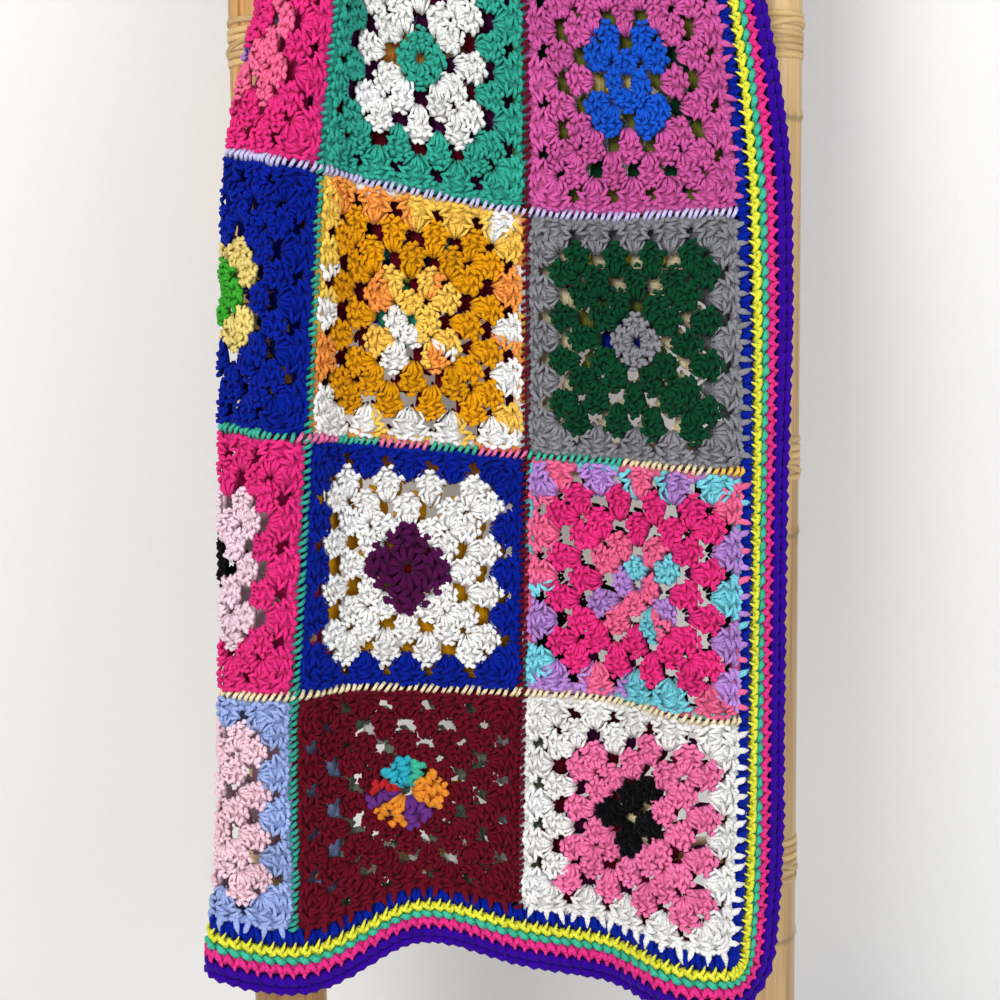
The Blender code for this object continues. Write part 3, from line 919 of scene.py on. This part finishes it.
# Strands of one stitch of the edging: yarn, radii, rows of (along the edge, off the squares, out)
EDGE_INNER = (
    ("royal", (0.0020, 0.0026, 0.0018),
     ((-0.0040, -0.0030, 0.0004), (-0.0024, 0.0030, 0.0030), (-0.0006, 0.0098, 0.0016))),
    ("royal", (0.0020, 0.0026, 0.0018),
     ((0.0034, -0.0026, 0.0000), (0.0026, 0.0034, 0.0026), (0.0014, 0.0100, 0.0014))),
    ("edge_yellow", (0.0005, 0.0014, 0.0020),
     ((0.0020, 0.0058, 0.0034), (0.0006, 0.0092, 0.0044), (-0.0012, 0.0130, 0.0036))),
    ("edge_yellow", (0.0015, 0.0022, 0.0017),
     ((-0.0044, 0.0108, 0.0018), (-0.0012, 0.0126, 0.0042), (0.0028, 0.0162, 0.0026))),
    ("edge_yellow", (0.0014, 0.0020, 0.0016),
     ((0.0042, 0.0112, 0.0014), (0.0032, 0.0142, 0.0034), (0.0008, 0.0170, 0.0022))),
    ("edge_mint", (0.0020, 0.0029, 0.0021),
     ((-0.0036, 0.0178, 0.0018), (-0.0004, 0.0194, 0.0038), (0.0030, 0.0216, 0.0020))),
)
EDGE_OUTER = (
    ("edge_pink", (0.0018, 0.0026, 0.0018),
     ((-0.0042, 0.0222, 0.0014), (-0.0022, 0.0254, 0.0036), (0.0006, 0.0294, 0.0028))),
    ("edge_pink", (0.0018, 0.0026, 0.0018),
     ((0.0042, 0.0222, 0.0012), (0.0030, 0.0256, 0.0034), (0.0012, 0.0294, 0.0026))),
    ("edge_pink", (0.0020, 0.0015, 0.0005),
     ((0.0008, 0.0284, 0.0036), (0.0010, 0.0306, 0.0040), (0.0016, 0.0328, 0.0032))),
    ("edge_purple", (0.0032, 0.0036, 0.0032),
     ((-0.0048, 0.0336, 0.0010), (-0.0006, 0.0348, 0.0024), (0.0044, 0.0360, 0.0010))),
    ("edge_purple", (0.0030, 0.0036, 0.0028),
     ((0.0048, 0.0406, 0.0000), (0.0004, 0.0422, 0.0016), (-0.0042, 0.0418, 0.0000))),
)

# Bodies of the edging's rounds: yarn, how far off the squares, half width
EDGE_BANDS = (
    ("royal", 0.0046, 0.0054), ("edge_yellow", 0.0136, 0.0040), ("edge_mint", 0.0196, 0.0034),
    ("edge_pink", 0.0262, 0.0046), ("edge_purple", 0.0375, 0.0072),
)


def edge_length():
    return 2 * (COLUMNS + ROWS) * SQUARE + 4 * CORNER_RUN


def add_edging(work, strands):
    count = round(edge_length() / EDGE_PITCH)
    start = (np.arange(count) + 0.5) / count * edge_length()
    for name, radii, points in strands:
        start_here = start + CHANCE.normal(0.0, EDGE_UNEVEN, count)
        flat = np.empty((count, len(points), 3))
        for ring, (shift, off, out) in enumerate(points):
            flat[:, ring, 0], flat[:, ring, 1] = round_edge(start_here + shift, np.full(count, off))
            flat[:, ring, 2] = out
        flat += CHANCE.normal(0.0, EDGE_STRAND_UNEVEN, flat.shape)
        colours = dyed(np.tile(linear(YARNS[name]), (count, 1)), UNEVEN_DYE)
        add_strands(work, flat, np.array(radii), 4, colours)


def add_edge_bands(work):
    """The bodies of the edging's rounds, under their stitches."""
    run = np.linspace(0.0, edge_length(), BAND_RINGS)
    for name, off, half in EDGE_BANDS:
        wide, along = round_edge(run, np.full(BAND_RINGS, off))
        flat = np.stack([wide, along, np.zeros(BAND_RINGS)], axis=-1)[None]
        add_strands(work, flat, half, 6, linear(YARNS[name])[None] * PAD_SHADE, BAND_THICKNESS / half)


def add_spikes(work):
    """Tops of the squares' last round, drawn out over the edging's first round."""
    stitches = (last_round_places()[:, None] + LAST_SPREAD * np.array([-1, 0, 1])).ravel()
    per_square = len(stitches)
    first = 0.0
    for side, squares in enumerate((COLUMNS, ROWS, COLUMNS, ROWS)):
        for index in range(squares):
            back = squares - 1 - index
            row, column = ((0, index), (index, COLUMNS - 1), (ROWS - 1, back), (back, 0))[side]
            name = SQUARES[row][column].split()[-1]
            middle = first + (index + 0.5) * SQUARE
            run = middle + stitches + CHANCE.normal(0.0, SPIKE_UNEVEN, per_square)
            reach = CHANCE.uniform(*SPIKE_REACH, per_square)
            slant = np.tile((-SPIKE_FAN, 0.0, SPIKE_FAN), ROUNDS)
            slant = slant + CHANCE.normal(SPIKE_LEAN, SPIKE_UNEVEN, per_square)
            points = []
            for share, out in zip((0.0, 0.5, 1.0), SPIKE_OUT):
                off = share * (reach + SPIKE_FOOT) - SPIKE_FOOT
                wide, along = round_edge(run + share * slant, off)
                points.append(np.stack([wide, along, np.full(per_square, out)], axis=-1))
            colours = yarn_colours([name] * per_square, 1)[:, 0]
            add_strands(work, np.stack(points, axis=1), np.array(SPIKE_RADII), 4, colours)
        first += squares * SQUARE + CORNER_RUN


# --- ladder


def ladder_axes():
    return np.array([1.0, 0.0, 0.0]), np.array([0.0, -math.cos(LEAN), math.sin(LEAN)])


def round_pole(x, height, angle, radius):
    """World points round a pole, and the ways out from its axis."""
    right, front = ladder_axes()
    height, angle, radius = np.broadcast_arrays(height, angle, radius)
    axis = np.stack(on_ladder(np.full(height.shape, x), height), axis=-1)
    out = np.cos(angle)[..., None] * right + np.sin(angle)[..., None] * front
    return axis + radius[..., None] * out, out


def bell(away, width):
    return np.exp(-((away / width) ** 2))


def make_pole(side, x, nodes, material):
    """A bamboo pole: a low ridge with a groove under it at each node, and a foot cut level."""
    steps = set(np.linspace(0.0, POLE_LENGTH, POLE_RINGS)) | {-BELOW_FLOOR}
    for node in nodes:
        steps.update(node + np.array(NODE_STEPS))
    for step in POLE_END_STEPS:
        steps.update((step, POLE_LENGTH - step))
    height = np.array(sorted(steps))
    radius = np.full(len(height), POLE_RADIUS)
    shade = np.ones(len(height))
    for node in nodes:
        away = height - node
        radius += NODE_RISE * bell(away, NODE_WIDTH) - GROOVE_DEPTH * bell(away + GROOVE_DROP, GROOVE_WIDTH)
        shade *= 1 - RING_SHADE * bell(away + RING_SHADE_DROP, RING_SHADE_WIDTH)
    shade *= 1 - FOOT_SHADE[side] * bell(height, FOOT_SHADE_HEIGHT)
    radius[[0, -1]] -= POLE_END_ROUND
    angle = 2 * np.pi * (np.arange(POLE_SIDES) + 0.5) / POLE_SIDES
    points, _ = round_pole(x, height[:, None], angle[None], radius[:, None])
    points[..., 2] = np.maximum(points[..., 2], floor_height())
    work = Work()
    work.add(points[None, :, ::-1], np.ones((1, 3)))
    work.tints = [np.repeat(shade, POLE_SIDES)[:, None] * np.ones(3)]
    return work.finish(f"bamboo_pole_{side}", material, "bamboo", f"pole_{side}")


def make_rungs(material):
    x = np.array(RUNG_RINGS) * RUNG_HALF_LENGTH
    radii = np.full(len(x), RUNG_RADIUS)
    radii[[0, -1]] -= RUNG_END_ROUND
    _, front = ladder_axes()
    for index in range(RUNG_COUNT):
        centre = np.array(on_ladder(0.0, FIRST_RUNG + index * RUNG_PITCH))
        centres = centre + np.stack([x, 0 * x, 0 * x], axis=-1)
        work = Work()
        rings = rings_round(centres[None], np.tile(front, (1, len(x), 1)), radii, RUNG_SIDES)
        work.add(rings, np.ones((1, 3)))
        work.finish(f"bamboo_rung_{index + 1}", material, "bamboo", f"rung_{index + 1}")


def make_lashing(side, x, index, material):
    """Rattan strips: turns round the pole, and one more that crosses over them."""
    middle = FIRST_RUNG + index * RUNG_PITCH
    work = Work()
    angle = np.linspace(0.0, 2 * np.pi, STRIP_RINGS)
    flip = 1 if side == "left" else -1
    levels = np.linspace(-LASHING_HALF, LASHING_HALF, TURNS) + CHANCE.normal(0.0, TURN_UNEVEN, TURNS)
    strips = [(level, STRIP_TILT * flip, STRIP_LIFT, STRIP_HALF_WIDTH) for level in levels]
    crossing = CHANCE.normal(0.0, CROSSING_UNEVEN)
    strips.append((crossing, CROSSING_RISE, CROSSING_LIFT, CROSSING_HALF_WIDTH))
    for level, tilt, lift, half_width in strips:
        start = CHANCE.uniform(0.0, 2 * np.pi)
        height = middle + level + tilt * np.cos(angle * flip + start)
        points, out = round_pole(x, height, angle * flip, POLE_RADIUS + lift)
        rings = rings_round(points[None], out[None], half_width, STRIP_SIDES, STRIP_FLATNESS)
        work.add(rings, np.full((1, 3), CHANCE.uniform(*STRIP_SHADES)))
    name = f"lashing_{side}_{index + 1}"
    work.finish(f"rattan_{side}_{index + 1}", material, "rattan", name)


# --- materials


class Nodes:
    """Short ways to add and link a material's nodes."""

    def __init__(self, name):
        self.material = bpy.data.materials.new(name)
        self.material.use_nodes = True
        self.tree = self.material.node_tree
        self.shader = self.tree.nodes["Principled BSDF"]

    def add(self, kind, **inputs):
        node = self.tree.nodes.new("ShaderNode" + kind)
        for key, value in inputs.items():
            node.inputs[key.replace("_", " ")].default_value = value
        return node

    def shade(self, **inputs):
        """Constant numbers on the shader's own sockets."""
        for key, value in inputs.items():
            self.shader.inputs[key.replace("_", " ")].default_value = value

    def tint(self):
        node = self.add("VertexColor")
        node.layer_name = "tint"
        return node.outputs["Color"]

    def twist(self, scale):
        """Places along a strand and round it."""
        uv = self.add("UVMap")
        uv.uv_map = "twist"
        return self.mapped(uv.outputs["UV"], Scale=scale)

    def mapped(self, vector, **inputs):
        mapping = self.add("Mapping", **inputs)
        self.link(vector, mapping.inputs["Vector"])
        return mapping.outputs["Vector"]

    def link(self, source, target):
        self.tree.links.new(source, target)

    def ramp(self, factor, stops):
        node = self.add("ValToRGB")
        while len(node.color_ramp.elements) < len(stops):
            node.color_ramp.elements.new(0.5)
        for element, (place, colour) in zip(node.color_ramp.elements, stops):
            element.position = place
            element.color = (*colour, 1.0)
        self.link(factor, node.inputs["Fac"])
        return node.outputs["Color"]

    def multiply(self, first, second):
        node = self.add("Mix")
        node.data_type = "RGBA"
        node.blend_type = "MULTIPLY"
        node.inputs["Factor"].default_value = 1.0
        self.link(first, node.inputs["A"])
        self.link(second, node.inputs["B"])
        return node.outputs["Result"]

    def noise(self, vector, scale, detail, roughness=0.5):
        node = self.add("TexNoise", Scale=scale, Detail=detail, Roughness=roughness)
        self.link(vector, node.inputs["Vector"])
        return node.outputs["Fac"]

    def bump(self, height, strength, distance, before=None):
        node = self.add("Bump", Strength=strength, Distance=distance)
        self.link(height, node.inputs["Height"])
        if before is not None:
            self.link(before, node.inputs["Normal"])
        return node.outputs["Normal"]


def yarn_material(name):
    """Acrylic yarn: twisted plies with painted shade in their grooves, a little fuzz, and the tint of each
    strand.
    """
    nodes = Nodes(name)
    plies = nodes.add("TexWave", Scale=0.32, Distortion=0.6)
    plies.wave_type = "BANDS"
    plies.bands_direction = "DIAGONAL"
    nodes.link(nodes.twist((700.0, 3.0, 1.0)), plies.inputs["Vector"])
    place = nodes.add("TexCoord")
    fuzz = nodes.noise(place.outputs["Object"], 1400.0, 3.0, 0.6)
    patches = nodes.noise(place.outputs["Object"], 160.0, 2.0)
    # Painted shade: the yarn's colour darkens in the grooves between its twisted plies
    painted_groove_shade = nodes.ramp(plies.outputs["Fac"], ((0.0, (0.80, 0.80, 0.80)), (0.5, (1.0, 1.0, 1.0))))
    soft = nodes.ramp(patches, ((0.3, (0.90, 0.90, 0.90)), (0.7, (1.0, 1.0, 1.0))))
    colour = nodes.multiply(nodes.multiply(nodes.tint(), painted_groove_shade), soft)
    nodes.link(colour, nodes.shader.inputs["Base Color"])
    normal = nodes.bump(plies.outputs["Fac"], 0.35, 0.0004)
    normal = nodes.bump(fuzz, 0.35, 0.0004, normal)
    nodes.link(normal, nodes.shader.inputs["Normal"])
    nodes.shade(Roughness=0.88, Specular_IOR_Level=0.08, Sheen_Weight=0.03, Sheen_Roughness=0.5)
    return nodes.material


def bamboo_material(name, dark, middle, light, scale):
    """Bamboo skin: long fibres and darker streaks along the pole or rung. Colours are sRGB levels."""
    nodes = Nodes(name)
    upright = nodes.mapped(nodes.add("TexCoord").outputs["Object"], Rotation=(LEAN, 0.0, 0.0))
    stretched = nodes.mapped(upright, Scale=scale)
    fibres = nodes.noise(stretched, 5.0, 5.0, 0.65)
    streaks = nodes.noise(stretched, 0.9, 3.0, 0.5)
    colour = nodes.ramp(fibres, ((0.25, linear(dark)), (0.5, linear(middle)), (0.78, linear(light))))
    shade = nodes.ramp(streaks, ((0.32, (0.62, 0.58, 0.52)), (0.55, (1.0, 1.0, 1.0))))
    colour = nodes.multiply(nodes.multiply(colour, shade), nodes.tint())
    nodes.link(colour, nodes.shader.inputs["Base Color"])
    gloss = nodes.ramp(fibres, ((0.3, (0.58, 0.58, 0.58)), (0.7, (0.40, 0.40, 0.40))))
    nodes.link(gloss, nodes.shader.inputs["Roughness"])
    nodes.link(nodes.bump(fibres, 0.25, 0.0004), nodes.shader.inputs["Normal"])
    nodes.shade(Coat_Weight=0.15, Coat_Roughness=0.3)
    return nodes.material


def rattan_material():
    """Split rattan: pale straw with fine lines along each strip."""
    nodes = Nodes("rattan_strip")
    lines = nodes.noise(nodes.twist((40.0, 60.0, 1.0)), 1.0, 4.0, 0.6)
    stops = ((0.25, linear((150, 112, 62))), (0.5, linear((206, 170, 112))), (0.75, linear((228, 200, 150))))
    colour = nodes.multiply(nodes.ramp(lines, stops), nodes.tint())
    nodes.link(colour, nodes.shader.inputs["Base Color"])
    nodes.link(nodes.bump(lines, 0.4, 0.0004), nodes.shader.inputs["Normal"])
    nodes.shade(Roughness=0.5)
    return nodes.material


def painted_material(name, colour, one_sided):
    """A matt painted surface; a one-sided one is clear from behind."""
    nodes = Nodes(name)
    place = nodes.add("TexCoord")
    grain = nodes.noise(place.outputs["Object"], 220.0, 3.0)
    shade = nodes.ramp(grain, ((0.3, [0.985 * level for level in colour]), (0.7, colour)))
    nodes.link(shade, nodes.shader.inputs["Base Color"])
    nodes.link(nodes.bump(grain, 0.05, 0.0005), nodes.shader.inputs["Normal"])
    nodes.shade(Roughness=0.9)
    if one_sided:
        clear = nodes.add("BsdfTransparent")
        facing = nodes.add("NewGeometry")
        mix = nodes.add("MixShader")
        nodes.link(facing.outputs["Backfacing"], mix.inputs["Fac"])
        nodes.link(nodes.shader.outputs["BSDF"], mix.inputs[1])
        nodes.link(clear.outputs["BSDF"], mix.inputs[2])
        nodes.link(mix.outputs["Shader"], nodes.tree.nodes["Material Output"].inputs["Surface"])
    return nodes.material


# --- pieces


def make_cloth(yarn, clusters):
    """The bodies of all 40 squares and of the edging: the one sheet that the stitches are worked on."""
    work = Work()
    add_pads(work, squares_of(clusters, (2, 3, 4), ALL_ROWS), 6)
    add_pads(work, squares_of(clusters, (0, 1), ALL_ROWS), 4)
    add_rims(work)
    add_edge_bands(work)
    return work.finish("blanket_cloth", yarn, "square_yarn", "blanket", "edging")


def make_stitches(yarn, clusters):
    """Stitches of the squares, in blocks, finest where the outer layer hangs at the front."""
    blocks = (
        ("stitches_front_low", (3, 4), FRONT_ROWS[:2], STRANDS_FULL),
        ("stitches_front_high", (3, 4), FRONT_ROWS[2:], STRANDS_FULL),
        ("stitches_fold_front", (2,), FRONT_ROWS, STRANDS_FULL),
        ("stitches_fold_back", (2,), BACK_ROWS, STRANDS_BACK),
        ("stitches_back", (3, 4), BACK_ROWS, STRANDS_BACK),
        ("stitches_inner", (0, 1), ALL_ROWS, STRANDS_INNER),
    )
    pieces = []
    for name, columns, rows, strands in blocks:
        work = Work()
        block = squares_of(clusters, columns, rows)
        if columns == (2,):
            outer = block["top"][:, 0] > INNER_UP_TO
            add_stitches(work, part_of(block, ~outer), STRANDS_INNER)
            block = part_of(block, outer)
        add_stitches(work, block, strands)
        pieces.append(work.finish(name, yarn, "square_yarn"))
    return pieces


def make_trim(yarn, edge_yarn):
    joins = Work()
    add_joins(joins)
    inner, outer = Work(), Work()
    add_edging(inner, EDGE_INNER)
    add_spikes(inner)
    add_edging(outer, EDGE_OUTER)
    return [
        joins.finish("whip_stitches", yarn, "square_yarn"),
        inner.finish("edging_inner_rounds", edge_yarn, "edging_yarn"),
        outer.finish("edging_outer_rounds", edge_yarn, "edging_yarn"),
    ]


def make_blanket():
    yarn = yarn_material("square_yarn")
    edge_yarn = yarn_material("edging_yarn")
    clusters = all_clusters()
    cloth = make_cloth(yarn, clusters)
    on_it = make_stitches(yarn, clusters) + make_trim(yarn, edge_yarn)


def make_ladder():
    upright, level = (30.0, 30.0, 0.8), (0.8, 60.0, 60.0)
    left = bamboo_material("bamboo_left", (140, 88, 34), (204, 152, 84), (224, 184, 120), upright)
    right = bamboo_material("bamboo_right", (172, 126, 70), (214, 176, 120), (232, 202, 152), upright)
    rung = bamboo_material("bamboo_rung", (140, 92, 46), (196, 148, 92), (216, 176, 124), level)
    rattan = rattan_material()
    half = POLE_SPACING / 2
    make_pole("left", -half, LEFT_NODES, left)
    make_pole("right", half, RIGHT_NODES, right)
    make_rungs(rung)
    for index in range(RUNG_COUNT):
        make_lashing("left", -half, index, rattan)
        make_lashing("right", half, index, rattan)


# --- stage


def stage_plane(name, corners, material):
    mesh = bpy.data.meshes.new(name)
    mesh.from_pydata(corners, [], [tuple(range(len(corners)))])
    mesh.materials.append(material)
    plane = bpy.data.objects.new(name, mesh)
    bpy.context.scene.collection.objects.link(plane)
    return plane


def make_stage():
    low = floor_height() - STAGE_GAP
    front, left, right, far = -STAGE_REACH, -STAGE_REACH, STAGE_REACH, STAGE_REACH
    corners = [(left, front, low), (right, front, low), (right, far, low), (left, far, low)]
    stage_plane("floor", corners, painted_material("pale_floor", (0.78, 0.77, 0.75), False))
    corners = [(x, WALL_Y, z) for x, z in ((left, low), (right, low), (right, WALL_TOP), (left, WALL_TOP))]
    wall = stage_plane("wall", corners, painted_material("pale_wall", (0.80, 0.80, 0.79), True))
    wall.visible_shadow = False
    wall.visible_diffuse = False
    wall.visible_glossy = False


def add_light(name, place, target, size, watts, colour):
    data = bpy.data.lights.new(name, "AREA")
    data.shape = "DISK"
    data.size = size
    data.energy = watts
    data.color = colour
    light = bpy.data.objects.new(name, data)
    light.location = place
    way = np.array(target) - np.array(place)
    light.rotation_euler = direction_angles(way)
    bpy.context.scene.collection.objects.link(light)


def direction_angles(way):
    """Euler angles that turn -Z towards way, with +Y up."""
    flat = math.hypot(way[0], way[1])
    return (math.atan2(flat, -way[2]), 0.0, math.atan2(way[0], -way[1]) + math.pi)


def make_lights():
    world = bpy.data.worlds.new("soft_room")
    world.use_nodes = True
    background = world.node_tree.nodes["Background"]
    background.inputs["Color"].default_value = (0.93, 0.95, 1.0, 1.0)
    background.inputs["Strength"].default_value = 0.60
    bpy.context.scene.world = world
    middle = on_ladder(0.0, 0.6)
    add_light("key", (-1.3, -2.4, 0.6), middle, 1.4, 56.0, (1.0, 0.98, 0.95))
    add_light("fill", (1.8, -2.0, -0.3), middle, 1.8, 21.0, (0.95, 0.97, 1.0))
    add_light("back", (0.6, 2.4, 0.8), middle, 1.6, 30.0, (1.0, 0.98, 0.96))


def make_camera():
    data = bpy.data.cameras.new("camera")
    data.lens = CAMERA_LENS
    data.sensor_width = 36.0
    camera = bpy.data.objects.new("camera", data)
    aim = np.array(on_ladder(*CAMERA_AIM))
    back = np.array([0.0, -math.cos(CAMERA_PITCH), math.sin(CAMERA_PITCH)])
    camera.location = aim + CAMERA_DISTANCE * back
    camera.rotation_euler = (math.pi / 2 - CAMERA_PITCH, 0.0, 0.0)
    camera.rotation_euler.rotate_axis("Z", CAMERA_ROLL)
    bpy.context.scene.collection.objects.link(camera)
    bpy.context.scene.camera = camera


def main():
    bpy.context.scene.view_settings.view_transform = "Standard"
    make_blanket()
    make_ladder()
    make_stage()
    make_lights()
    make_camera()


main()
